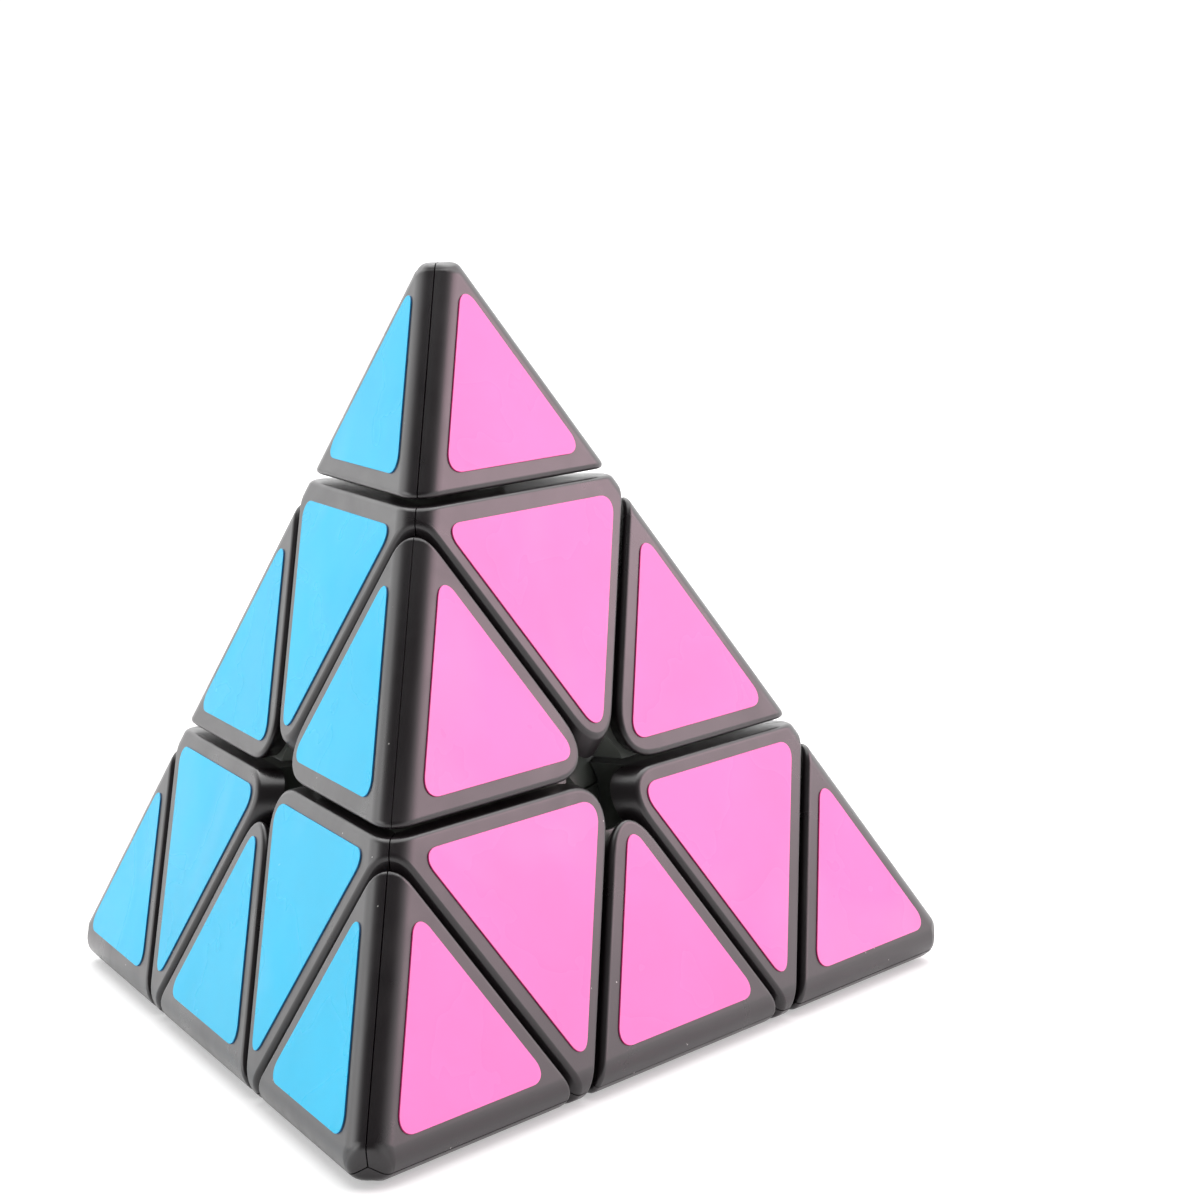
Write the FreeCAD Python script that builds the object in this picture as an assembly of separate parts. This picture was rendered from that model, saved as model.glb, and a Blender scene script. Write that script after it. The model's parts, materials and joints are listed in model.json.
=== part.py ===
"""Pyramid twisty puzzle: one STEP per piece, in millimetres, +Z up.

The origin is the centre of the core, where the four turning axes meet. Vertex 0 is the
top, 1 the front, 2 the right and 3 the left one; face n lies opposite vertex n. Along
the axis of vertex n, s is the distance from the centre towards that vertex.
"""
import FreeCAD, Part
import math
import os

V = FreeCAD.Vector

# driving dimensions
OVERALL = 98.0  # vertex to vertex over the blunt ends
EDGE_R = 2.8  # rounding along the six long edges
TIP_FLAT = 6.4  # how far each sharp corner is cut back
SHARP = OVERALL + 8.2  # the same edge before the corners are cut back
GAP = 0.35  # half the gap between neighbouring pieces
SEAM = 0.05  # half the seam between two face shells of one piece
SHELL = 2.4  # thickness of a face shell
WALL = 1.8  # wall left around the hollows
PLUG = 1.0  # height of the block that locates a shell in its hollow
LAP = 0.5  # how far a hollow's tool runs into the shell above it
FIT = 0.1  # clearance of the inner sliding surfaces
OUTLINE_R = 0.65  # rounding of a piece's outline along the gaps
AXIAL_CORNER_R = 3.9  # rounding of a corner piece where it reaches a face centre
EDGE_CORNER_R = 4.5  # the same on an edge piece
HOLE_R = 5.4  # bore under the shells round each face centre
HOLE_WALL = 1.4  # wall between that bore and the hollows
CORE_R = 10.95  # ball of the core
CORE_CLEAR = 0.15  # room between the ball and the feet
FOOT_R = 15.9  # outer radius of the feet of the edge pieces
FOOT_CLEAR = 0.2  # room between them and the corner pieces above
FOOT_S = 4.7  # distance of the cuts between feet from the centre
FOOT_TOP = 24.0  # a corner piece's foot runs up into its column as far as this
ARM_R = 4.5  # arms of the core
ARM_END = 20.0
ARM_BORE = 4.58
COLUMN_R = 7.2  # column round the bore of a corner piece
SPIGOT_R = 6.0  # spigot under a tip
SPIGOT_BORE = 6.08
SPIGOT_END = 34.15
RECESS_FLOOR = 34.1
TIP_POCKET_TOP = 42.0
AXIAL_POCKET_LOW = 5.2  # floor of a corner piece's hollow above its layer cut
AXIAL_POCKET_DEEP = 13.0
AXIAL_WEB = 1.0  # half the web between two of its hollows
EDGE_POCKET_DEEP = 6.0
EDGE_WEB = 0.8
HUB_TOP = 47.0  # top of a tip's hub
WELL_FLOOR = 39.5  # floor of the well that holds washer, spring and screw head
WELL_R = 3.4
SCREW_R = 1.5
SCREW_HOLE = 1.6
SCREW_DEEP = 8.0  # how near a screw's end comes to the centre
HEAD_R = 2.9
HEAD_LOW = 44.0
HEAD_HIGH = 46.2
DRIVE_LONG = 3.6  # cross slot in a screw's head
DRIVE_WIDE = 0.9
DRIVE_DEEP = 1.3
WASHER_R = 3.2
WASHER_T = 0.5
SEATED = 0.02  # room under a washer
SPRING_R = 2.4
WIRE_R = 0.36
SPRING_TURNS = 3.0
STICKER_T = 0.15
STICKER_R = 1.5  # corner radius of a sticker
STICKER_POINT_R = 1.8  # the corner that points at the face centre
TIP_STICKER = (2.6, 4.25)  # inset from the tip cut, and from the two long edges
AXIAL_STICKER = (2.35, 1.9)  # inset from the tip cut, and from the two layer cuts
EDGE_STICKER = (4.3, 2.6)  # inset from the long edge, and from the two layer cuts

# proportions that a regular tetrahedron fixes
FACE_S = SHARP * math.sqrt(6) / 12  # centre to face
VERTEX_S = 3 * FACE_S
LAYER_S = FACE_S / 3  # cut under a corner layer
TIP_S = 5 * FACE_S / 3  # cut under a tip

AXES = [
    V(0, 0, 1),
    V(0, -math.sqrt(8) / 3, -1 / 3),
    V(math.sqrt(6) / 3, math.sqrt(2) / 3, -1 / 3),
    V(-math.sqrt(6) / 3, math.sqrt(2) / 3, -1 / 3),
]
VERTEX_NAMES = ["top", "front", "right", "left"]
FACE_NAMES = ["base", "back", "left", "right"]
EDGES = [(0, 1), (0, 2), (0, 3), (1, 2), (1, 3), (2, 3)]
BIG = 160.0  # half the width of a half-space block
BEYOND = 60.0  # past the ends of every bore


def above(normal, distance):
    """The half of space further than a distance along a direction."""
    box = Part.makeBox(2 * BIG, 2 * BIG, BIG, V(-BIG, -BIG, distance))
    box.Placement = FreeCAD.Placement(V(0, 0, 0), FreeCAD.Rotation(V(0, 0, 1), normal))
    return box


def below(normal, distance):
    """The half of space nearer than a distance along a direction."""
    return above(-normal, -distance)


def within(*halves):
    """What several halves of space share."""
    shape = halves[0]
    for half in halves[1:]:
        shape = shape.common(half)
    return shape


def rod(axis, radius, low, high):
    """A cylinder on a turning axis."""
    return Part.makeCylinder(radius, high - low, axis * low, axis)


def only_solid(shape):
    """The single solid a boolean result holds."""
    solids = sorted(shape.Solids, key=lambda s: s.Volume)
    if len(solids) != 1:
        raise ValueError("expected one solid, found %d" % len(solids))
    return solids[0]


def inside_layer(n, margin=GAP):
    return above(AXES[n], LAYER_S + margin)


def outside_layer(n, margin=GAP):
    return below(AXES[n], LAYER_S - margin)


def under_shells(faces, depth=SHELL):
    """The space more than a depth below some faces."""
    return within(*[above(AXES[f], depth - FACE_S) for f in faces])


def hole(face, margin=0.0):
    """The bore round a face centre, from under the shells inwards."""
    return rod(-AXES[face], HOLE_R + margin, 0.0, FACE_S - SHELL)


def sector(n, face, margin):
    """The third of space around axis n that belongs to one face, less a margin."""
    j, k = [m for m in range(4) if m not in (n, face)]
    sides = []
    for near, far in ((j, k), (k, j)):
        normal = AXES[n].cross(AXES[near]).normalize()
        if normal.dot(AXES[far]) < 0:
            normal = -normal
        sides.append(above(normal, margin))
    return within(*sides)


def face_side(face, other, margin):
    """The side of an edge piece's mid plane that belongs to one of its two faces."""
    return above((AXES[other] - AXES[face]).normalize(), margin)


def blunt_tetrahedron():
    """The whole outer form: rounded edges and cut-back corners."""
    solid = only_solid(under_shells(range(4), 0.0))
    solid = solid.makeFillet(EDGE_R, solid.Edges)
    for axis in AXES:
        solid = solid.common(below(axis, VERTEX_S - TIP_FLAT))
    return only_solid(solid)


def lies_on(edge, cuts):
    """How many of some cut planes an edge runs along, and how far inside it goes."""
    first, last = edge.FirstParameter, edge.LastParameter
    points = [edge.valueAt(first + (last - first) * n / 4.0) for n in range(5)]
    along = [
        all(abs(p.dot(AXES[n]) - s) < 1e-4 for p in points) for n, s in cuts
    ]
    depth = max(min(p.dot(axis) + FACE_S for axis in AXES) for p in points)
    return sum(along), depth


def rounded_corners(shape, cuts, radius):
    """Round the edges that two of a piece's layer cuts share."""
    corners = [e for e in shape.Edges if lies_on(e, cuts)[0] == 2]
    return only_solid(shape.makeFillet(radius, corners))


def rounded_outline(shape, cuts):
    """Round a piece's outline along the gaps."""
    outline = []
    for edge in shape.Edges:
        count, depth = lies_on(edge, cuts)
        if count and depth < EDGE_R:
            outline.append(edge)
    return only_solid(shape.makeFillet(OUTLINE_R, outline))


def whole_tip(outer):
    shape = only_solid(outer.common(above(AXES[0], TIP_S + GAP)))
    return rounded_outline(shape, [(0, TIP_S + GAP)])


def whole_axial(outer):
    cuts = [(n, LAYER_S - GAP) for n in (1, 2, 3)]
    sides = [below(AXES[n], s) for n, s in cuts]
    block = within(above(AXES[0], 0.0), below(AXES[0], TIP_S - GAP), *sides)
    shape = rounded_corners(only_solid(outer.common(block)), cuts, AXIAL_CORNER_R)
    shape = only_solid(shape.common(inside_layer(0)))
    return rounded_outline(shape, cuts + [(0, TIP_S - GAP)])


def edge_block(outer):
    return only_solid(outer.common(within(inside_layer(0), inside_layer(1))))


def whole_edge(block):
    cuts = [(0, LAYER_S + GAP), (1, LAYER_S + GAP)]
    return rounded_outline(rounded_corners(block, cuts, EDGE_CORNER_R), cuts)


# tips
def tip_pocket(face, margin):
    """Shallow hollow on a tip hub's side that locates a face shell."""
    return within(
        sector(0, face, WALL + margin),
        above(AXES[0], TIP_S + GAP + WALL + margin),
        below(AXES[0], TIP_POCKET_TOP - margin),
        under_shells([face], SHELL - LAP),
        below(AXES[face], SHELL + PLUG - margin - FACE_S),
    )


def tip_hub(whole):
    hub = whole.common(within(under_shells([1, 2, 3]), below(AXES[0], HUB_TOP)))
    hub = hub.fuse(rod(AXES[0], SPIGOT_R, SPIGOT_END, TIP_S + 1.0))
    hub = hub.cut(rod(AXES[0], SCREW_HOLE, 0.0, BEYOND))
    hub = hub.cut(rod(AXES[0], WELL_R, WELL_FLOOR, BEYOND))
    for face in (1, 2, 3):
        hub = hub.cut(tip_pocket(face, 0.0))
    return only_solid(hub.removeSplitter())


def tip_shell(whole, face):
    slab = within(below(AXES[face], SHELL - FACE_S), sector(0, face, SEAM))
    return only_solid(whole.common(slab).fuse(tip_pocket(face, FIT / 2)))


# corner pieces
def axial_pocket(face, margin):
    """Hollow under one face shell of a corner piece."""
    others = [n for n in (1, 2, 3) if n != face]
    space = within(
        sector(0, face, AXIAL_WEB + margin),
        above(AXES[0], LAYER_S + GAP + AXIAL_POCKET_LOW + margin),
        below(AXES[0], TIP_S - GAP - WALL - margin),
        *[outside_layer(n, GAP + WALL + margin) for n in others],
        under_shells([face], SHELL - LAP),
        below(AXES[face], SHELL + AXIAL_POCKET_DEEP - FACE_S),
    )
    space = space.cut(rod(AXES[0], COLUMN_R + margin, 0.0, BEYOND))
    space = space.cut(hole(face, HOLE_WALL + margin))
    return only_solid(space.cut(Part.makeSphere(FOOT_R + FOOT_CLEAR + WALL + margin)))


def axial_hub(whole):
    others = (1, 2, 3)
    beside_foot = [below(AXES[n], FOOT_S - FIT) for n in others]
    ball = Part.makeSphere(FOOT_R + FOOT_CLEAR)
    column = whole.common(under_shells(others)).cut(ball)
    middle = within(
        inside_layer(0), below(AXES[0], FOOT_TOP), *beside_foot, under_shells(others)
    )
    foot = within(above(AXES[0], FOOT_S + FIT), below(AXES[0], FOOT_TOP), *beside_foot)
    foot = foot.common(Part.makeSphere(FOOT_R))
    hub = column.fuse(middle).cut([hole(face) for face in others])
    hub = hub.fuse(foot).cut(Part.makeSphere(CORE_R + CORE_CLEAR))
    hub = hub.cut(rod(AXES[0], ARM_BORE, 0.0, ARM_END + FIT))
    hub = hub.cut(rod(AXES[0], SCREW_HOLE, 0.0, BEYOND))
    hub = hub.cut(rod(AXES[0], SPIGOT_BORE, RECESS_FLOOR, BEYOND))
    for face in others:
        hub = hub.cut(axial_pocket(face, 0.0))
    return only_solid(hub.removeSplitter())


def axial_shell(whole, face):
    slab = within(below(AXES[face], SHELL - FACE_S), sector(0, face, SEAM))
    plug = axial_pocket(face, FIT / 2).common(below(AXES[face], SHELL + PLUG - FACE_S))
    return only_solid(whole.common(slab).fuse(only_solid(plug)))


# edge pieces, built between the top and the front vertex
def edge_pocket(face, margin):
    """Hollow under one face shell of an edge piece."""
    space = within(
        inside_layer(0, GAP + WALL + margin),
        inside_layer(1, GAP + WALL + margin),
        face_side(face, 5 - face, EDGE_WEB + margin),
        under_shells([face], SHELL - LAP),
        below(AXES[face], SHELL + EDGE_POCKET_DEEP - FACE_S),
    )
    space = space.cut(hole(face, HOLE_WALL + margin))
    return only_solid(space.cut(Part.makeSphere(FOOT_R + FOOT_CLEAR + WALL + margin)))


def edge_foot(block):
    body = block.common(under_shells([2, 3])).cut([hole(2), hole(3)])
    held = [above(AXES[n], FOOT_S + FIT) for n in (0, 1)]
    clear = [below(AXES[n], FOOT_S - FIT) for n in (2, 3)]
    foot = within(*held, *clear).common(Part.makeSphere(FOOT_R))
    foot = body.fuse(foot).cut(Part.makeSphere(CORE_R + CORE_CLEAR))
    for face in (2, 3):
        foot = foot.cut(edge_pocket(face, 0.0))
    return only_solid(foot.removeSplitter())


def edge_shell(whole, face):
    slab = within(below(AXES[face], SHELL - FACE_S), face_side(face, 5 - face, SEAM))
    plug = edge_pocket(face, FIT / 2).common(below(AXES[face], SHELL + PLUG - FACE_S))
    return only_solid(whole.common(slab).fuse(only_solid(plug)))


# stickers
def offset_side(start, end, inner, inset):
    """A side of a triangle moved inwards: a point on it and its direction."""
    along = (end - start).normalize()
    inward = inner - start
    inward = (inward - along * inward.dot(along)).normalize()
    return start + inward * inset, along, inward


def meet(one, other):
    """Where two such sides cross."""
    point, along, _ = one
    base, _, inward = other
    return point + along * ((base - point).dot(inward) / along.dot(inward))


def sticker(face, points, insets, radii):
    """A rounded triangle lying on a face, inset from the sides opposite each corner."""
    out = -AXES[face]
    sides = []
    for n in range(3):
        a, b, c = points[(n + 1) % 3], points[(n + 2) % 3], points[n]
        sides.append(offset_side(a, b, c, insets[n]))
    corners = [meet(sides[(n + 1) % 3], sides[(n + 2) % 3]) for n in range(3)]
    prism = Part.Face(Part.makePolygon(corners + corners[:1])).extrude(out * STICKER_T)
    for corner, radius in zip(corners, radii):
        for edge in prism.Edges:
            ends = [v.Point - corner for v in edge.Vertexes]
            if all(abs(p.dot(p) - p.dot(out) ** 2) < 1e-6 for p in ends):
                prism = prism.makeFillet(radius, [edge])
                break
    return only_solid(prism)


def on_face(weights):
    """A point given by how much each vertex weighs, in thirds."""
    point = V(0, 0, 0)
    for n, weight in weights.items():
        point = point + AXES[n] * (VERTEX_S * weight / 3.0)
    return point


def tip_sticker(face):
    j, k = [n for n in (1, 2, 3) if n != face]
    points = [on_face({0: 3}), on_face({0: 2, j: 1}), on_face({0: 2, k: 1})]
    low, side = TIP_STICKER
    return sticker(face, points, (low, side, side), (STICKER_R,) * 3)


def axial_sticker(face):
    j, k = [n for n in (1, 2, 3) if n != face]
    points = [on_face({0: 1, j: 1, k: 1}), on_face({0: 2, j: 1}), on_face({0: 2, k: 1})]
    top, side = AXIAL_STICKER
    radii = (STICKER_POINT_R, STICKER_R, STICKER_R)
    return sticker(face, points, (top, side, side), radii)


def edge_sticker(face):
    far = 5 - face
    points = [on_face({0: 1, 1: 1, far: 1}), on_face({0: 2, 1: 1}), on_face({0: 1, 1: 2})]
    outer, side = EDGE_STICKER
    return sticker(face, points, (outer, side, side), (STICKER_R,) * 3)


# core and fasteners
def core_spider():
    core = Part.makeSphere(CORE_R)
    for axis in AXES:
        core = core.fuse(rod(axis, ARM_R, 0.0, ARM_END))
    for axis in AXES:
        core = core.cut(rod(axis, SCREW_R, SCREW_DEEP, BEYOND))
    return only_solid(core.removeSplitter())


def tension_screw():
    up = AXES[0]
    screw = rod(up, SCREW_R, SCREW_DEEP, HEAD_LOW)
    screw = screw.fuse(rod(up, HEAD_R, HEAD_LOW, HEAD_HIGH))
    corner = V(-DRIVE_LONG / 2, -DRIVE_WIDE / 2, HEAD_HIGH - DRIVE_DEEP)
    for turn in (0, 90):
        slot = Part.makeBox(DRIVE_LONG, DRIVE_WIDE, 2 * DRIVE_DEEP, corner)
        slot.rotate(V(0, 0, 0), up, turn)
        screw = screw.cut(slot)
    return only_solid(screw.removeSplitter())


def spring_washer():
    low = WELL_FLOOR + SEATED
    ring = rod(AXES[0], WASHER_R, low, low + WASHER_T)
    return only_solid(ring.cut(rod(AXES[0], SCREW_HOLE, 0.0, BEYOND)))


def tension_spring():
    low = WELL_FLOOR + SEATED + WASHER_T + WIRE_R
    high = HEAD_LOW - WIRE_R
    coil = Part.makeHelix((high - low) / SPRING_TURNS, high - low, SPRING_R)
    coil.translate(V(0, 0, low))
    ring = Part.Wire(Part.makeCircle(WIRE_R, V(SPRING_R, 0, low), V(0, 1, 0)))
    return only_solid(Part.Wire(coil.Edges).makePipeShell([ring], True, True))


# placing copies
def turning(first, second):
    """The turn that takes the top and front axes to two others."""
    def frame(a, b):
        c = a.cross(b)
        return FreeCAD.Matrix(a.x, b.x, c.x, 0, a.y, b.y, c.y, 0, a.z, b.z, c.z, 0)
    return frame(AXES[first], AXES[second]) * frame(AXES[0], AXES[1]).inverse()


def carried_to(matrix, vertex):
    """Which vertex a turn takes a vertex to."""
    goal = matrix.multiply(AXES[vertex])
    return max(range(4), key=lambda n: goal.dot(AXES[n]))


def export(name, shapes):
    """Write one node: a single solid, or a group of separate ones."""
    shape = shapes[0] if len(shapes) == 1 else Part.makeCompound(shapes)
    for solid in shape.Solids:
        if not solid.isValid():
            raise ValueError("not valid: " + name)
    shape.exportStep("parts/%s.step" % name)


def export_turned(name, shapes, matrix):
    export(name, [shape.transformed(matrix, True) for shape in shapes])


def place_corners(outer):
    """Tips and corner pieces, from the top one."""
    faces = (1, 2, 3)
    tip, axial = whole_tip(outer), whole_axial(outer)
    hub, shells = tip_hub(tip), [tip_shell(tip, f) for f in faces]
    labels = [tip_sticker(f) for f in faces]
    body, skins = axial_hub(axial), {f: axial_shell(axial, f) for f in faces}
    marks = [axial_sticker(f) for f in faces]
    for n, name in enumerate(VERTEX_NAMES):
        matrix = turning(n, (n + 1) % 4)
        export_turned("tip_%s_hub" % name, [hub], matrix)
        export_turned("tip_%s_shells" % name, shells, matrix)
        export_turned("tip_%s_stickers" % name, labels, matrix)
        export_turned("axial_%s_hub" % name, [body], matrix)
        export_turned("axial_%s_stickers" % name, marks, matrix)
        for face, skin in skins.items():
            side = FACE_NAMES[carried_to(matrix, face)]
            export_turned("axial_%s_shell_%s" % (name, side), [skin], matrix)


def place_edges(outer):
    """The six edge pieces, from the top front one."""
    block = edge_block(outer)
    edge = whole_edge(block)
    foot, skins = edge_foot(block), {f: edge_shell(edge, f) for f in (2, 3)}
    labels = [edge_sticker(f) for f in (2, 3)]
    for a, b in EDGES:
        matrix = turning(a, b)
        name = "edge_%s_%s" % (VERTEX_NAMES[a], VERTEX_NAMES[b])
        export_turned(name + "_foot", [foot], matrix)
        export_turned(name + "_stickers", labels, matrix)
        for face, skin in skins.items():
            side = FACE_NAMES[carried_to(matrix, face)]
            export_turned("%s_shell_%s" % (name, side), [skin], matrix)


def place_fasteners():
    """Core, screws, springs and washers."""
    export("core_spider", [core_spider()])
    for name, shape in (
        ("tension_screws", tension_screw()),
        ("spring_washers", spring_washer()),
        ("tension_springs", tension_spring()),
    ):
        copies = [shape.transformed(turning(n, (n + 1) % 4), True) for n in range(4)]
        export(name, copies)


os.makedirs("parts", exist_ok=True)
OUTER = blunt_tetrahedron()
place_corners(OUTER)
place_edges(OUTER)
place_fasteners()
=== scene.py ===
"""Pyramid twisty puzzle, laid out as an add-on: shells, stickers, inner parts and a stage."""
import json
import math

import bmesh
import bpy
from bpy.props import FloatProperty, FloatVectorProperty, PointerProperty
from mathutils import Matrix, Vector

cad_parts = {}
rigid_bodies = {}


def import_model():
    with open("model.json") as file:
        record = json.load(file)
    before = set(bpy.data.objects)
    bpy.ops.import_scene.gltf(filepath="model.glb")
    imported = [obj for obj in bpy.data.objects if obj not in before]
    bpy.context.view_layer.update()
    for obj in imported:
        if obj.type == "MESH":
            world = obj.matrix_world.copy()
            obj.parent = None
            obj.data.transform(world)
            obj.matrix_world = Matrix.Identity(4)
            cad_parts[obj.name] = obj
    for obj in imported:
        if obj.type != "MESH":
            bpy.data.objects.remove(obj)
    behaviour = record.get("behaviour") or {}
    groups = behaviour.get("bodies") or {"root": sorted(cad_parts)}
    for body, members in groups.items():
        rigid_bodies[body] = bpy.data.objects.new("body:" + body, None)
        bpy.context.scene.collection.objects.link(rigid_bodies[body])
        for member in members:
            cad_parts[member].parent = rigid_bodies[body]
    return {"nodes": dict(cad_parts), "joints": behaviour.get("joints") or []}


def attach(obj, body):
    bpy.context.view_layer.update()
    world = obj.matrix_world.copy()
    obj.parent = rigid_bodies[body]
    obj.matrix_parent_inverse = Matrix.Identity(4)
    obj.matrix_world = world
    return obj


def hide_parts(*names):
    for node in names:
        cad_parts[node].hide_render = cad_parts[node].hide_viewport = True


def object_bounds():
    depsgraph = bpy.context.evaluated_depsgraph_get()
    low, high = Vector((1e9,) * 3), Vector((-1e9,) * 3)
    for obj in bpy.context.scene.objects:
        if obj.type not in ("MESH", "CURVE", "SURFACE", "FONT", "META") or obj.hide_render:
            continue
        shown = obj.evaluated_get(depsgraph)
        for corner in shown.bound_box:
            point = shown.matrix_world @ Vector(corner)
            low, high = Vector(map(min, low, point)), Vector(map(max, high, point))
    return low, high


# the scene starts empty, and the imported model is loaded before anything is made
for thing in list(bpy.data.objects):
    bpy.data.objects.remove(thing, do_unlink=True)
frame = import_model()
CAD_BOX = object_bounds()

bl_info = {
    "name": "Pyramid Twisty Puzzle",
    "version": (1, 0, 0),
    "blender": (4, 5, 0),
    "location": "3D View > Sidebar > Puzzle",
    "description": "Builds the shells, stickers and stage of a pyramid twisty puzzle",
    "category": "Object",
}

VERTICES = ("top", "front", "right", "left")
FACES = ("base", "back", "left", "right")
FACE_COLOURS = ("yellow", "green", "blue", "pink")
EDGES = ((0, 1), (0, 2), (0, 3), (1, 2), (1, 3), (2, 3))
AXES = [
    Vector(joint["axis"]).normalized()
    for name in VERTICES
    for joint in frame["joints"]
    if joint["name"] == "turn_%s_layer" % name
]
STICKER_THICKNESS = 0.00015

# distances from the puzzle's centre
FACE_S = -CAD_BOX[0].z - STICKER_THICKNESS
VERTEX_S = 3 * FACE_S  # the sharp vertex, before it is cut back
LAYER_S = FACE_S / 3
TIP_S = FACE_S * 5 / 3

ACUTE = math.sqrt(2)  # bevel width over radius where two faces meet at 70.5 degrees
OBTUSE = 1 / math.sqrt(2)  # the same at 109.5 degrees
RIM_TURN = math.radians(62.0)  # arc of a vertex's rim; the faces lie at 70.5 degrees
RIM_STEPS = 6
LONG_EDGE_STEPS = 10
INNER_STEPS = 10
OUTLINE_STEPS = 6
STICKER_STEPS = 12
STICKER_RIM = 0.00005  # rounding of a sticker's upper edge
SHELL_SHARP = 0.6  # edges that turn more than this, in radians, are shaded sharp
STICKER_SHARP = 1.2
BLOCK = 0.5  # side of the block that every piece is cut from
CUT_TOLERANCE = 1e-8
MERGE_DISTANCE = 1e-7
ON_PLANE = 1e-6
SKIN, CUT = 0, 1  # material slots that mark the outer skin and the cut walls

# camera, in metres, degrees and millimetres
CAMERA_PLACE = (0.0604, -0.3461, 0.0759)
CAMERA_TURN = (81.465, 1.840, 7.087)
CAMERA_LENS = 101.6
CAMERA_SENSOR = 36.0

# studio; a radiance of 1 is that of a white floor under the overhead light
OVERHEAD_SPREAD = 70.0  # degrees
OVERHEAD_TILT = -20.0
OVERHEAD_RADIANCE = 1.0
ROOM_DIM_TOWARDS = (-0.05, -0.6, 0.8)
ROOM_BRIGHT, ROOM_DIM = 1.9, 0.12
BACKDROP = 1.1
FLOOR_HALF = 40.0
FLOOR_GLOW = 0.4  # keeps the shadow on the floor pale


def length(name, description, default):
    return FloatProperty(
        name=name, description=description, default=default, min=0.0,
        unit="LENGTH", precision=5,
    )


def tint(name, description, default):
    return FloatVectorProperty(
        name=name, description=description, default=default, subtype="COLOR",
        size=3, min=0.0, max=1.0,
    )


class PuzzleSizes(bpy.types.PropertyGroup):
    long_edge: length("Long edge", "Rounding along the six long edges", 0.0028)
    outline: length("Outline", "Rounding of a piece along the gaps", 0.00065)
    corner_inner: length("Inner corner", "A corner piece's at a face centre", 0.0039)
    edge_inner: length("Inner edge", "An edge piece's at a face centre", 0.0045)
    vertex: length("Vertex rim", "Rounding of the cut-back vertices", 0.0013)
    cut_back: length("Corner cut", "How far each sharp vertex is cut back", 0.006)
    gap: length("Half gap", "Half the gap between pieces", 0.00035)
    seam: length("Half seam", "Half the seam between a piece's shells", 0.00006)
    edge_seam: length("Half edge seam", "The same on the edge pieces", 0.000035)
    shell: length("Shell", "Thickness of a face shell", 0.0024)
    sticker: length("Sticker", "Thickness of a sticker", STICKER_THICKNESS)
    sticker_corner: length("Sticker corner", "Corner radius of a sticker", 0.0015)
    sticker_point: length("Sticker point", "Radius at the face centre", 0.0018)
    tip_low: length("Tip sticker base", "Inset from the tip's cut", 0.0026)
    tip_side: length("Tip sticker side", "Inset from the long edges", 0.00425)
    corner_top: length("Corner sticker top", "Inset from the tip's cut", 0.00235)
    corner_side: length("Corner sticker side", "Inset from the layer cuts", 0.0019)
    edge_outer: length("Edge sticker base", "Inset from the long edge", 0.0043)
    edge_side: length("Edge sticker side", "Inset from the layer cuts", 0.0026)


class PuzzleColours(bpy.types.PropertyGroup):
    plastic: tint("Plastic", "Shells of every piece", (0.009, 0.007, 0.008))
    inner: tint("Inner plastic", "Hubs, feet and core", (0.11, 0.12, 0.108))
    blue: tint("Blue", "Left face", (0.0, 0.44, 0.7))
    pink: tint("Pink", "Right face", (0.9, 0.2, 0.5))
    green: tint("Green", "Back face", (0.02, 0.3, 0.045))
    yellow: tint("Yellow", "Base", (0.8, 0.62, 0.03))
    metal: tint("Metal", "Screws, springs and washers", (0.62, 0.62, 0.63))
    floor: tint("Floor", "Stage under the puzzle", (0.62, 0.62, 0.62))


# meshes
def cut_away(bm, normal, distance, mark=CUT):
    """Remove what lies further than a distance along a normal and close the opening."""
    made = bmesh.ops.bisect_plane(
        bm, geom=bm.verts[:] + bm.edges[:] + bm.faces[:], dist=CUT_TOLERANCE,
        plane_co=normal * distance, plane_no=normal, clear_outer=True,
    )
    rim = [g for g in made["geom_cut"] if isinstance(g, bmesh.types.BMEdge)]
    if rim:
        lid = bmesh.ops.holes_fill(bm, edges=rim, sides=0)
        for face in lid["faces"]:
            face.material_index = mark


def bevelled(bm, edges, width, segments):
    """Round some edges and return the new faces."""
    made = bmesh.ops.bevel(
        bm, geom=edges, offset=width, offset_type="OFFSET", segments=segments,
        profile=0.5, affect="EDGES", clamp_overlap=False, material=-1,
        loop_slide=True,
    )
    return made["faces"]


def blunt_block(sizes):
    """The whole puzzle's outer form, with rounded edges and cut-back vertices."""
    bm = bmesh.new()
    bmesh.ops.create_cube(bm, size=BLOCK)
    for axis in AXES:
        cut_away(bm, -axis, FACE_S, SKIN)
    bevelled(bm, bm.edges[:], sizes.long_edge * ACUTE, LONG_EDGE_STEPS)
    for axis in AXES:
        blunt_vertex(bm, axis, sizes)
    return bm


def blunt_vertex(bm, axis, sizes):
    """Cut a vertex back to a flat with a rounded rim, raised in insets round its arc."""
    flat = VERTEX_S - sizes.cut_back
    cut_away(bm, axis, flat - sizes.vertex * (1 - math.cos(RIM_TURN)), SKIN)
    cap = max(bm.faces, key=lambda f: f.calc_center_median().dot(axis))
    for n in range(RIM_STEPS):
        low, high = RIM_TURN * (1 - n / RIM_STEPS), RIM_TURN * (1 - (n + 1) / RIM_STEPS)
        bmesh.ops.inset_region(
            bm, faces=[cap], use_even_offset=True, use_boundary=True,
            thickness=sizes.vertex * (math.sin(low) - math.sin(high)),
            depth=sizes.vertex * (math.cos(high) - math.cos(low)),
        )


def round_outline(bm, width):
    """Round the edges where the outer skin meets the gaps."""
    outline = [
        e for e in bm.edges
        if len({f.material_index for f in e.link_faces}) == 2
    ]
    bevelled(bm, outline, width, OUTLINE_STEPS)


def whole_tip(sizes):
    """A tip with all three of its faces."""
    bm = blunt_block(sizes)
    cut_away(bm, -AXES[0], -(TIP_S + sizes.gap))
    round_outline(bm, sizes.outline * ACUTE)
    return bm


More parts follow.
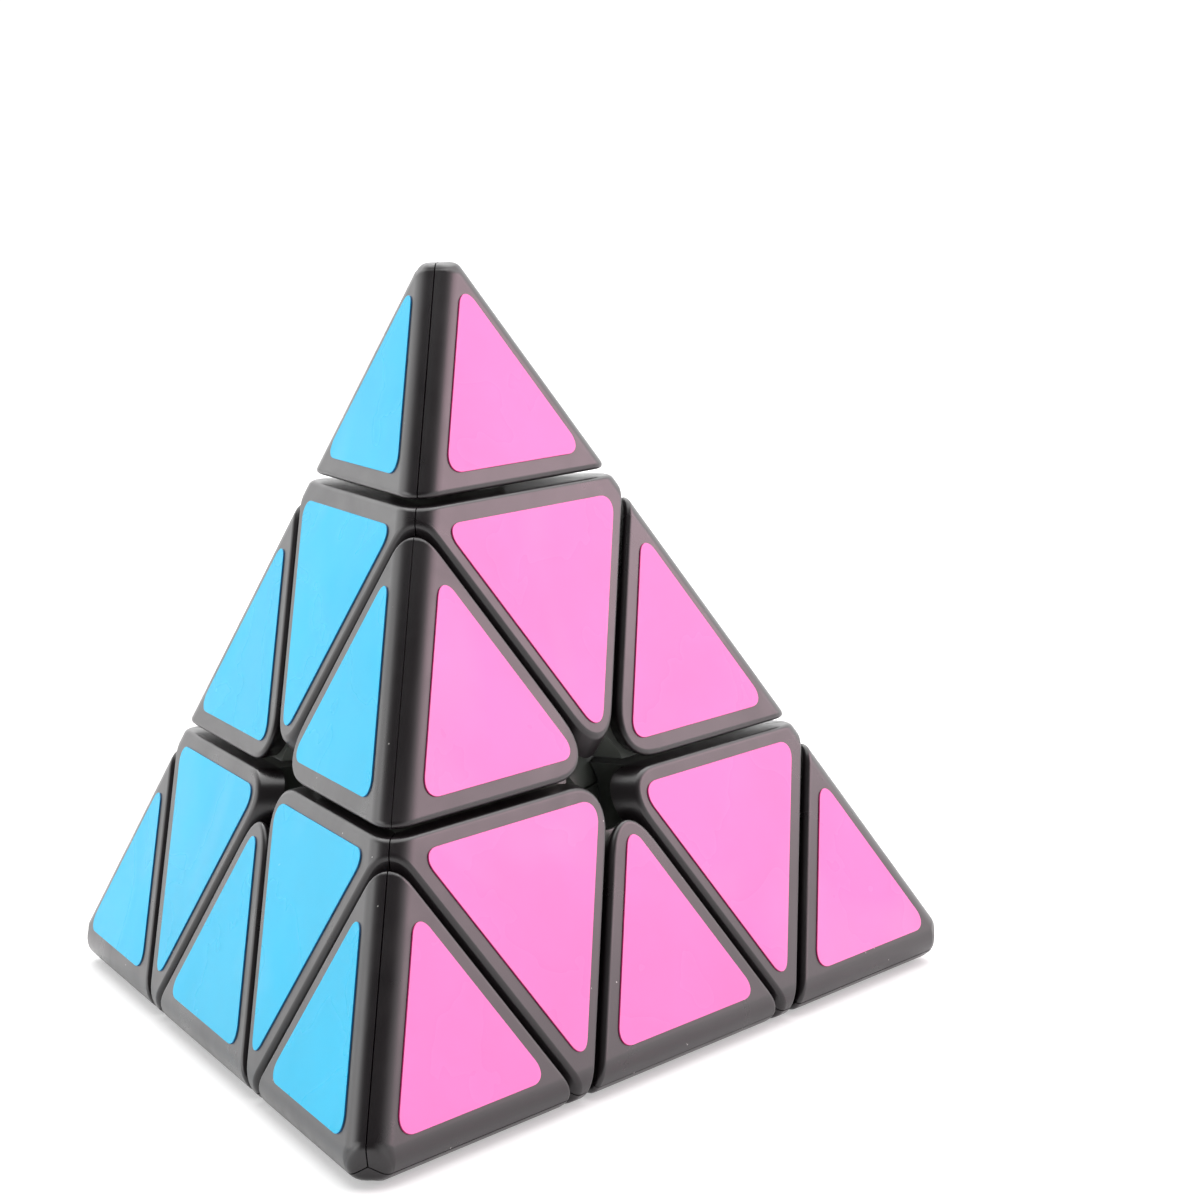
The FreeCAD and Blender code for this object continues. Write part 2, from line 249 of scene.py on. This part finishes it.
def round_inner_corners(bm, planes, width):
    """Round the edges that two of some planes share."""
    shared = []
    for edge in bm.edges:
        held = sum(
            all(abs(v.co.dot(n) - d) < ON_PLANE for v in edge.verts) for n, d in planes
        )
        if held == 2:
            shared.append(edge)
    for face in bevelled(bm, shared, width, INNER_STEPS):
        face.material_index = CUT


def whole_corner(sizes):
    """A corner piece with all three of its faces."""
    bm = blunt_block(sizes)
    planes = [(axis, LAYER_S - sizes.gap) for axis in AXES[1:]]
    for normal, distance in planes:
        cut_away(bm, normal, distance)
    cut_away(bm, -AXES[0], 0.0)
    round_inner_corners(bm, planes, sizes.corner_inner * ACUTE)
    cut_away(bm, -AXES[0], -(LAYER_S + sizes.gap))
    cut_away(bm, AXES[0], TIP_S - sizes.gap)
    round_outline(bm, sizes.outline * OBTUSE)
    return bm


def whole_edge(sizes):
    """An edge piece with both of its faces."""
    bm = blunt_block(sizes)
    planes = [(-axis, -(LAYER_S + sizes.gap)) for axis in AXES[:2]]
    for normal, distance in planes:
        cut_away(bm, normal, distance)
    round_inner_corners(bm, planes, sizes.edge_inner * ACUTE)
    round_outline(bm, sizes.outline * ACUTE)
    return bm


def seam_planes(vertex, face):
    """Inward normals of the two seams beside a face shell of a tip or corner piece."""
    j, k = [n for n in range(4) if n not in (vertex, face)]
    normals = []
    for near, far in ((j, k), (k, j)):
        normal = AXES[vertex].cross(AXES[near]).normalized()
        normals.append(normal if normal.dot(AXES[far]) > 0 else -normal)
    return normals


def face_shell(whole, face, normals, seam, sizes):
    """Cut one face's shell out of a whole piece."""
    bm = whole.copy()
    for normal in normals:
        cut_away(bm, -normal, -seam)
    cut_away(bm, AXES[face], sizes.shell - FACE_S)
    finish_mesh(bm)
    return bm


def finish_mesh(bm, sharp=SHELL_SHARP):
    """Merge doubles, turn the faces outwards and mark the sharp edges."""
    bmesh.ops.remove_doubles(bm, verts=bm.verts[:], dist=MERGE_DISTANCE)
    bmesh.ops.dissolve_degenerate(bm, edges=bm.edges[:], dist=MERGE_DISTANCE)
    bmesh.ops.recalc_face_normals(bm, faces=bm.faces[:])
    for face in bm.faces:
        face.smooth = True
    for edge in bm.edges:
        edge.smooth = len(edge.link_faces) == 2 and edge.calc_face_angle(0.0) < sharp


def turning(first, second):
    """The turn that takes the top and front axes to two others."""
    def basis(a, b):
        return Matrix((a, b, a.cross(b))).transposed()
    return basis(AXES[first], AXES[second]) @ basis(AXES[0], AXES[1]).inverted()


def carried_to(turn, n):
    """Which vertex or face a turn takes one to."""
    goal = turn @ AXES[n]
    return max(range(4), key=lambda m: goal.dot(AXES[m]))


def new_piece(name, bm, turn, body, nodes, materials):
    """Make an object of a mesh, turned to its place, that rides on a body."""
    copy = bm.copy()
    bmesh.ops.transform(copy, matrix=turn.to_4x4(), verts=copy.verts[:])
    mesh = bpy.data.meshes.new(name)
    copy.to_mesh(mesh)
    copy.free()
    piece = bpy.data.objects.new(name, mesh)
    bpy.context.scene.collection.objects.link(piece)
    for material in materials:
        mesh.materials.append(material)
    normals = piece.modifiers.new("even_shading", "WEIGHTED_NORMAL")
    normals.keep_sharp = True
    normals.weight = 80
    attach(piece, body)
    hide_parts(*nodes)
    return piece


# stickers
def meet(one, other):
    """Where two sides of a triangle cross, each a point and a direction."""
    (p, d, _), (q, _, inward) = one, other
    return p + d * ((q - p).dot(inward) / d.dot(inward))


def on_face(weights):
    """A point given by how much each vertex weighs, in thirds."""
    total = Vector()
    for n, weight in weights.items():
        total += AXES[n] * (VERTEX_S * weight / 3)
    return total


def sticker_mesh(face, points, insets, radii, sizes):
    """A rounded triangle on a face, inset from the side opposite each corner."""
    sides = []
    for n in range(3):
        start, end, inner = points[(n + 1) % 3], points[(n + 2) % 3], points[n]
        along = (end - start).normalized()
        inward = inner - start
        inward = (inward - along * inward.dot(along)).normalized()
        sides.append((start + inward * insets[n], along, inward))
    bm = bmesh.new()
    verts = [bm.verts.new(meet(sides[(n + 1) % 3], sides[(n + 2) % 3])) for n in range(3)]
    bm.faces.new(verts)
    for corner, radius in zip([v.co.copy() for v in verts], radii):
        vert = min(bm.verts, key=lambda v: (v.co - corner).length)
        bmesh.ops.bevel(
            bm, geom=[vert], offset=radius * math.sqrt(3), offset_type="OFFSET",
            segments=STICKER_STEPS, profile=0.5, affect="VERTICES", clamp_overlap=False,
            material=-1,
        )
    made = bmesh.ops.extrude_face_region(bm, geom=bm.faces[:])
    moved = [g for g in made["geom"] if isinstance(g, bmesh.types.BMVert)]
    bmesh.ops.translate(bm, verts=moved, vec=-AXES[face] * sizes.sticker)
    bmesh.ops.recalc_face_normals(bm, faces=bm.faces[:])
    for side in bm.faces:
        side.material_index = 0 if side.normal.dot(-AXES[face]) > 0.9 else 1
    rim = [
        e for e in bm.edges
        if all((v.co.dot(AXES[face]) + FACE_S) < -sizes.sticker * 0.9 for v in e.verts)
    ]
    bevelled(bm, rim, STICKER_RIM, 2)
    finish_mesh(bm, STICKER_SHARP)
    return bm


def tip_sticker(face, s):
    """A sticker of the top tip, on one of its faces."""
    j, k = [n for n in (1, 2, 3) if n != face]
    points = [on_face({0: 3}), on_face({0: 2, j: 1}), on_face({0: 2, k: 1})]
    insets = (s.tip_low, s.tip_side, s.tip_side)
    return sticker_mesh(face, points, insets, (s.sticker_corner,) * 3, s)


def corner_sticker(face, s):
    """A sticker of the top corner piece, pointing at the face centre."""
    j, k = [n for n in (1, 2, 3) if n != face]
    points = [on_face({0: 1, j: 1, k: 1}), on_face({0: 2, j: 1}), on_face({0: 2, k: 1})]
    insets = (s.corner_top, s.corner_side, s.corner_side)
    radii = (s.sticker_point, s.sticker_corner, s.sticker_corner)
    return sticker_mesh(face, points, insets, radii, s)


def edge_sticker(face, s):
    """A sticker of the edge piece between the top and front vertices."""
    points = [on_face({0: 1, 1: 1, 5 - face: 1}), on_face({0: 2, 1: 1}),
              on_face({0: 1, 1: 2})]
    insets = (s.edge_outer, s.edge_side, s.edge_side)
    return sticker_mesh(face, points, insets, (s.sticker_corner,) * 3, s)


# materials
WHITE = (1.0, 1.0, 1.0)
DUST = (0.45, 0.44, 0.42)


class Nodes:
    """A material's node tree, with short calls for the nodes that repeat."""

    def __init__(self, name):
        self.material = bpy.data.materials.get(name) or bpy.data.materials.new(name)
        self.material.use_nodes = True
        self.tree = self.material.node_tree
        self.tree.nodes.clear()
        self.shader = self.tree.nodes.new("ShaderNodeBsdfPrincipled")
        out = self.tree.nodes.new("ShaderNodeOutputMaterial")
        self.link(self.shader.outputs["BSDF"], out.inputs["Surface"])
        self.place = self.tree.nodes.new("ShaderNodeTexCoord").outputs["Object"]

    def link(self, a, b):
        self.tree.links.new(a, b)

    def noise(self, scale, detail=2.0, roughness=0.5, distortion=0.0, stretch=None):
        place = self.place
        if stretch:
            node = self.tree.nodes.new("ShaderNodeMapping")
            node.inputs["Scale"].default_value = stretch
            node.inputs["Rotation"].default_value = (0.3, 0.5, 0.7)
            self.link(place, node.inputs["Vector"])
            place = node.outputs["Vector"]
        node = self.tree.nodes.new("ShaderNodeTexNoise")
        node.inputs["Scale"].default_value = scale
        node.inputs["Detail"].default_value = detail
        node.inputs["Roughness"].default_value = roughness
        node.inputs["Distortion"].default_value = distortion
        self.link(place, node.inputs["Vector"])
        return node.outputs["Fac"]

    def ramp(self, source, low, high, from_low=0.0, from_high=1.0):
        node = self.tree.nodes.new("ShaderNodeMapRange")
        node.inputs["From Min"].default_value = from_low
        node.inputs["From Max"].default_value = from_high
        node.inputs["To Min"].default_value = low
        node.inputs["To Max"].default_value = high
        self.link(source, node.inputs["Value"])
        return node.outputs["Result"]

    def mix(self, factor, a, b):
        node = self.tree.nodes.new("ShaderNodeMix")
        node.data_type = "RGBA"
        self.link(factor, node.inputs["Factor"])
        for value, socket in ((a, node.inputs["A"]), (b, node.inputs["B"])):
            if isinstance(value, (tuple, list)):
                socket.default_value = (*value, 1.0)
            else:
                self.link(value, socket)
        return node.outputs["Result"]

    def bump(self, height, strength, distance, after=None):
        node = self.tree.nodes.new("ShaderNodeBump")
        node.inputs["Strength"].default_value = strength
        node.inputs["Distance"].default_value = distance
        self.link(height, node.inputs["Height"])
        if after:
            self.link(after, node.inputs["Normal"])
        return node.outputs["Normal"]

    def voronoi(self, scale):
        node = self.tree.nodes.new("ShaderNodeTexVoronoi")
        node.inputs["Scale"].default_value = scale
        self.link(self.place, node.inputs["Vector"])
        return node.outputs["Distance"]


def shade(colour, factor):
    """A colour made darker or lighter."""
    return tuple(min(1.0, c * factor) for c in colour)


def plastic(name, colour, gloss):
    """Moulded plastic with a fine grain, faint handling marks and dust specks.

    The gloss is the roughness that the marks vary about.
    """
    n = Nodes(name)
    patches = n.noise(90.0, detail=3.0, roughness=0.6)
    blotches = n.ramp(patches, 0.0, 1.0, from_low=0.35, from_high=0.65)
    base = n.mix(blotches, shade(colour, 0.88), shade(colour, 1.15))
    specks = n.ramp(n.voronoi(900.0), 1.0, 0.0, from_low=0.05, from_high=0.09)
    rare = n.ramp(n.noise(260.0, detail=1.0), 0.0, 1.0, from_low=0.66, from_high=0.68)
    dust = n.tree.nodes.new("ShaderNodeMath")
    dust.operation = "MULTIPLY"
    n.link(specks, dust.inputs[0])
    n.link(rare, dust.inputs[1])
    n.link(n.mix(dust.outputs[0], base, DUST), n.shader.inputs["Base Color"])
    smears = n.noise(55.0, detail=4.0, roughness=0.65, distortion=1.5)
    n.link(n.ramp(smears, gloss - 0.05, gloss + 0.07, from_low=0.3, from_high=0.7),
           n.shader.inputs["Roughness"])
    n.shader.inputs["Specular IOR Level"].default_value = 0.55
    grain = n.bump(n.noise(5200.0, roughness=0.6), strength=0.12, distance=0.00002)
    wave = n.bump(n.noise(120.0), strength=0.05, distance=0.0002, after=grain)
    n.link(wave, n.shader.inputs["Normal"])
    return n.material


def vinyl(name, colour):
    """Glossy sticker film, slightly wavy, with faint finger marks and pale patches of painted
    reflection.
    """
    n = Nodes(name)
    tone = n.ramp(n.noise(60.0, detail=3.0, roughness=0.55), 0.0, 1.0, from_low=0.35,
                  from_high=0.65)
    film = n.mix(tone, shade(colour, 0.96), shade(colour, 1.03))
    # pale patches mixed towards white: a painted reflection, standing in for the room
    # mirrored in the film
    painted_reflection = n.ramp(n.noise(38.0, distortion=0.6), 0.0, 0.04, from_low=0.54, from_high=0.7)
    n.link(n.mix(painted_reflection, film, WHITE), n.shader.inputs["Base Color"])
    marks = n.noise(70.0, detail=3.0, distortion=0.5)
    n.link(n.ramp(marks, 0.22, 0.34, from_low=0.35, from_high=0.7),
           n.shader.inputs["Roughness"])
    n.shader.inputs["Specular IOR Level"].default_value = 0.1
    wave = n.bump(n.noise(45.0, detail=1.5), strength=0.2, distance=0.0006)
    n.link(wave, n.shader.inputs["Normal"])
    return n.material


def cut_vinyl(name, colour):
    """The cut edge of a sticker, darker and deeper in colour than its face."""
    n = Nodes(name)
    deep = tuple(c ** 2 for c in colour)
    n.link(n.mix(n.noise(900.0), shade(deep, 0.6), shade(deep, 0.8)),
           n.shader.inputs["Base Color"])
    n.shader.inputs["Roughness"].default_value = 0.5
    return n.material


def drawn_metal(name, colour):
    """Plated steel with fine turning marks."""
    n = Nodes(name)
    marks = n.noise(1500.0, detail=3.0, roughness=0.6, stretch=(1.0, 1.0, 0.05))
    n.link(n.mix(marks, shade(colour, 0.8), shade(colour, 1.1)),
           n.shader.inputs["Base Color"])
    n.link(n.ramp(marks, 0.25, 0.42), n.shader.inputs["Roughness"])
    n.shader.inputs["Metallic"].default_value = 1.0
    n.link(n.bump(marks, strength=0.15, distance=0.00003), n.shader.inputs["Normal"])
    return n.material


def shell_plastic():
    """The black plastic that every shell shares."""
    return plastic("shell_plastic", tuple(bpy.context.scene.puzzle_colours.plastic), 0.3)


# operators
class PUZZLE_OT_tips(bpy.types.Operator):
    """Model the three face shells of each tip"""

    bl_idname = "puzzle.tips"
    bl_label = "Tip shells"

    def execute(self, context):
        sizes, coat = context.scene.puzzle_sizes, shell_plastic()
        whole = whole_tip(sizes)
        for face in (1, 2, 3):
            shell = face_shell(whole, face, seam_planes(0, face), sizes.seam, sizes)
            for n, name in enumerate(VERTICES):
                turn = turning(n, (n + 1) % 4)
                side = FACES[carried_to(turn, face)]
                new_piece("tip_%s_%s_skin" % (name, side), shell, turn, "tip_" + name,
                          ["tip_%s_shells" % name], [coat])
            shell.free()
        whole.free()
        return {"FINISHED"}


class PUZZLE_OT_corners(bpy.types.Operator):
    """Model the three face shells of each corner piece"""

    bl_idname = "puzzle.corners"
    bl_label = "Corner piece shells"

    def execute(self, context):
        sizes, coat = context.scene.puzzle_sizes, shell_plastic()
        whole = whole_corner(sizes)
        for face in (1, 2, 3):
            shell = face_shell(whole, face, seam_planes(0, face), sizes.seam, sizes)
            for n, name in enumerate(VERTICES):
                turn = turning(n, (n + 1) % 4)
                side = FACES[carried_to(turn, face)]
                new_piece("corner_%s_%s_skin" % (name, side), shell, turn,
                          "corner_" + name, ["axial_%s_shell_%s" % (name, side)],
                          [coat])
            shell.free()
        whole.free()
        return {"FINISHED"}


class PUZZLE_OT_edges(bpy.types.Operator):
    """Model the two face shells of each edge piece"""

    bl_idname = "puzzle.edges"
    bl_label = "Edge piece shells"

    def execute(self, context):
        sizes, coat = context.scene.puzzle_sizes, shell_plastic()
        whole = whole_edge(sizes)
        for face in (2, 3):
            normal = (AXES[5 - face] - AXES[face]).normalized()
            shell = face_shell(whole, face, [normal], sizes.edge_seam, sizes)
            for a, b in EDGES:
                turn = turning(a, b)
                side = FACES[carried_to(turn, face)]
                body = "edge_%s_%s" % (VERTICES[a], VERTICES[b])
                new_piece("%s_%s_skin" % (body, side), shell, turn, body,
                          ["%s_shell_%s" % (body, side)], [coat])
            shell.free()
        whole.free()
        return {"FINISHED"}


class PUZZLE_OT_stickers(bpy.types.Operator):
    """Model the stickers, nine to a face"""

    bl_idname = "puzzle.stickers"
    bl_label = "Stickers"

    def execute(self, context):
        sizes, colours = context.scene.puzzle_sizes, context.scene.puzzle_colours
        films = {}
        for name in FACE_COLOURS:
            colour = tuple(getattr(colours, name))
            films[name] = [vinyl(name + "_vinyl", colour),
                           cut_vinyl(name + "_vinyl_edge", colour)]

        def place(bm, turn, face, body, node):
            side = carried_to(turn, face)
            colour = FACE_COLOURS[side]
            new_piece("%s_%s_sticker" % (body, FACES[side]), bm, turn, body, [node],
                      films[colour])

        for face in (1, 2, 3):
            low, high = tip_sticker(face, sizes), corner_sticker(face, sizes)
            for n, name in enumerate(VERTICES):
                turn = turning(n, (n + 1) % 4)
                place(low, turn, face, "tip_" + name, "tip_%s_stickers" % name)
                place(high, turn, face, "corner_" + name, "axial_%s_stickers" % name)
            low.free()
            high.free()
        for face in (2, 3):
            bm = edge_sticker(face, sizes)
            for a, b in EDGES:
                body = "edge_%s_%s" % (VERTICES[a], VERTICES[b])
                place(bm, turning(a, b), face, body, body + "_stickers")
            bm.free()
        return {"FINISHED"}


class PUZZLE_OT_inner(bpy.types.Operator):
    """Give the hubs, feet, core and fasteners their materials"""

    bl_idname = "puzzle.inner"
    bl_label = "Inner parts"

    def execute(self, context):
        colours = context.scene.puzzle_colours
        inner = plastic("inner_plastic", tuple(colours.inner), 0.36)
        core = plastic("core_plastic", shade(colours.inner, 1.3), 0.4)
        steel = drawn_metal("plated_steel", tuple(colours.metal))
        for name, node in frame["nodes"].items():
            if name == "core_spider":
                material = core
            elif name.endswith(("_hub", "_foot")):
                material = inner
            elif name.startswith(("tension", "spring")):
                material = steel
            else:
                continue
            node.data.materials.clear()
            node.data.materials.append(material)
        return {"FINISHED"}


def softbox(name, place, aim, width, height, radiance, colour=WHITE):
    """A rectangular light whose face has a given radiance."""
    light = bpy.data.lights.new(name, "AREA")
    light.shape = "RECTANGLE"
    light.size, light.size_y = width, height
    light.energy = radiance * math.pi * width * height
    light.color = colour
    lamp = bpy.data.objects.new(name, light)
    bpy.context.scene.collection.objects.link(lamp)
    lamp.location = place
    lamp.rotation_euler = (Vector(aim) - Vector(place)).to_track_quat("-Z", "Y").to_euler()


class PUZZLE_OT_stage(bpy.types.Operator):
    """Set up the floor, lights and camera"""

    bl_idname = "puzzle.stage"
    bl_label = "Stage"

    def execute(self, context):
        self.floor(context)
        softbox("right_softbox", place=(0.72, 0.28, 0.36), aim=(0, 0, 0.02), width=0.5,
                height=0.45, radiance=4.0, colour=(1.0, 0.62, 0.74))
        softbox("left_softbox", place=(-0.74, -0.18, 0.2), aim=(0, 0, 0), width=0.6,
                height=0.4, radiance=1.8)
        self.overhead(context)
        self.room(context)
        context.scene.view_settings.view_transform = "Standard"
        self.camera(context)
        return {"FINISHED"}

    def overhead(self, context):
        """A wide soft light far above, the same all over the floor."""
        light = bpy.data.lights.new("overhead", "SUN")
        light.angle = math.radians(OVERHEAD_SPREAD)
        light.energy = OVERHEAD_RADIANCE * math.pi
        lamp = bpy.data.objects.new("overhead", light)
        context.scene.collection.objects.link(lamp)
        lamp.rotation_euler = (math.radians(OVERHEAD_TILT), 0.0, 0.0)

    def room(self, context):
        """A white room that is dim above and in front; the backdrop itself stays white."""
        world = bpy.data.worlds.new("studio")
        world.use_nodes = True
        tree = world.node_tree
        tree.nodes.clear()
        place = tree.nodes.new("ShaderNodeTexCoord").outputs["Generated"]
        dim = tree.nodes.new("ShaderNodeVectorMath")
        dim.operation = "DOT_PRODUCT"
        dim.inputs[1].default_value = Vector(ROOM_DIM_TOWARDS).normalized()
        level = tree.nodes.new("ShaderNodeMapRange")
        level.interpolation_type = "SMOOTHSTEP"
        for name, value in (("From Min", 0.1), ("From Max", 0.8), ("To Min", ROOM_BRIGHT),
                            ("To Max", ROOM_DIM)):
            level.inputs[name].default_value = value
        seen = tree.nodes.new("ShaderNodeLightPath").outputs["Is Camera Ray"]
        strength = tree.nodes.new("ShaderNodeMix")
        strength.inputs["B"].default_value = BACKDROP
        back = tree.nodes.new("ShaderNodeBackground")
        back.inputs["Color"].default_value = (*WHITE, 1.0)
        out = tree.nodes.new("ShaderNodeOutputWorld")
        for a, b in (
            (place, dim.inputs[0]), (dim.outputs["Value"], level.inputs["Value"]),
            (level.outputs["Result"], strength.inputs["A"]),
            (seen, strength.inputs["Factor"]),
            (strength.outputs["Result"], back.inputs["Strength"]),
            (back.outputs[0], out.inputs["Surface"]),
        ):
            tree.links.new(a, b)
        context.scene.world = world

    def floor(self, context):
        """Pale paper under the puzzle."""
        bm = bmesh.new()
        bmesh.ops.create_grid(bm, x_segments=1, y_segments=1, size=FLOOR_HALF)
        bmesh.ops.translate(bm, verts=bm.verts[:], vec=(0, 0, CAD_BOX[0].z))
        mesh = bpy.data.meshes.new("floor")
        bm.to_mesh(mesh)
        bm.free()
        floor = bpy.data.objects.new("floor", mesh)
        context.scene.collection.objects.link(floor)
        n = Nodes("floor_paper")
        colour = tuple(context.scene.puzzle_colours.floor)
        n.link(n.mix(n.noise(3.0), shade(colour, 0.99), shade(colour, 1.01)),
               n.shader.inputs["Base Color"])
        n.shader.inputs["Roughness"].default_value = 0.6
        n.shader.inputs["Emission Color"].default_value = (*WHITE, 1.0)
        n.shader.inputs["Emission Strength"].default_value = FLOOR_GLOW
        mesh.materials.append(n.material)

    def camera(self, context):
        """A long lens at the front, a little above the puzzle."""
        data = bpy.data.cameras.new("camera")
        data.lens, data.sensor_width = CAMERA_LENS, CAMERA_SENSOR
        data.clip_start = 0.01
        camera = bpy.data.objects.new("camera", data)
        camera.location = CAMERA_PLACE
        camera.rotation_euler = [math.radians(angle) for angle in CAMERA_TURN]
        context.scene.collection.objects.link(camera)
        context.scene.camera = camera


class PUZZLE_PT_panel(bpy.types.Panel):
    """The sizes, the colours and the building steps"""

    bl_idname = "PUZZLE_PT_panel"
    bl_label = "Pyramid Twisty Puzzle"
    bl_space_type = "VIEW_3D"
    bl_region_type = "UI"
    bl_category = "Puzzle"

    def draw(self, context):
        for group in (context.scene.puzzle_sizes, context.scene.puzzle_colours):
            box = self.layout.box()
            for name in group.__annotations__:
                box.prop(group, name)
        for operator in OPERATORS:
            self.layout.operator(operator.bl_idname)


OPERATORS = (
    PUZZLE_OT_tips, PUZZLE_OT_corners, PUZZLE_OT_edges, PUZZLE_OT_stickers,
    PUZZLE_OT_inner, PUZZLE_OT_stage,
)
CLASSES = (PuzzleSizes, PuzzleColours) + OPERATORS + (PUZZLE_PT_panel,)


def register():
    for cls in CLASSES:
        bpy.utils.register_class(cls)
    bpy.types.Scene.puzzle_sizes = PointerProperty(type=PuzzleSizes)
    bpy.types.Scene.puzzle_colours = PointerProperty(type=PuzzleColours)


def unregister():
    del bpy.types.Scene.puzzle_colours
    del bpy.types.Scene.puzzle_sizes
    for cls in reversed(CLASSES):
        bpy.utils.unregister_class(cls)


def main():
    register()
    bpy.ops.puzzle.tips()
    bpy.ops.puzzle.corners()
    bpy.ops.puzzle.edges()
    bpy.ops.puzzle.stickers()
    bpy.ops.puzzle.inner()
    bpy.ops.puzzle.stage()


if __name__ == "__main__":
    main()
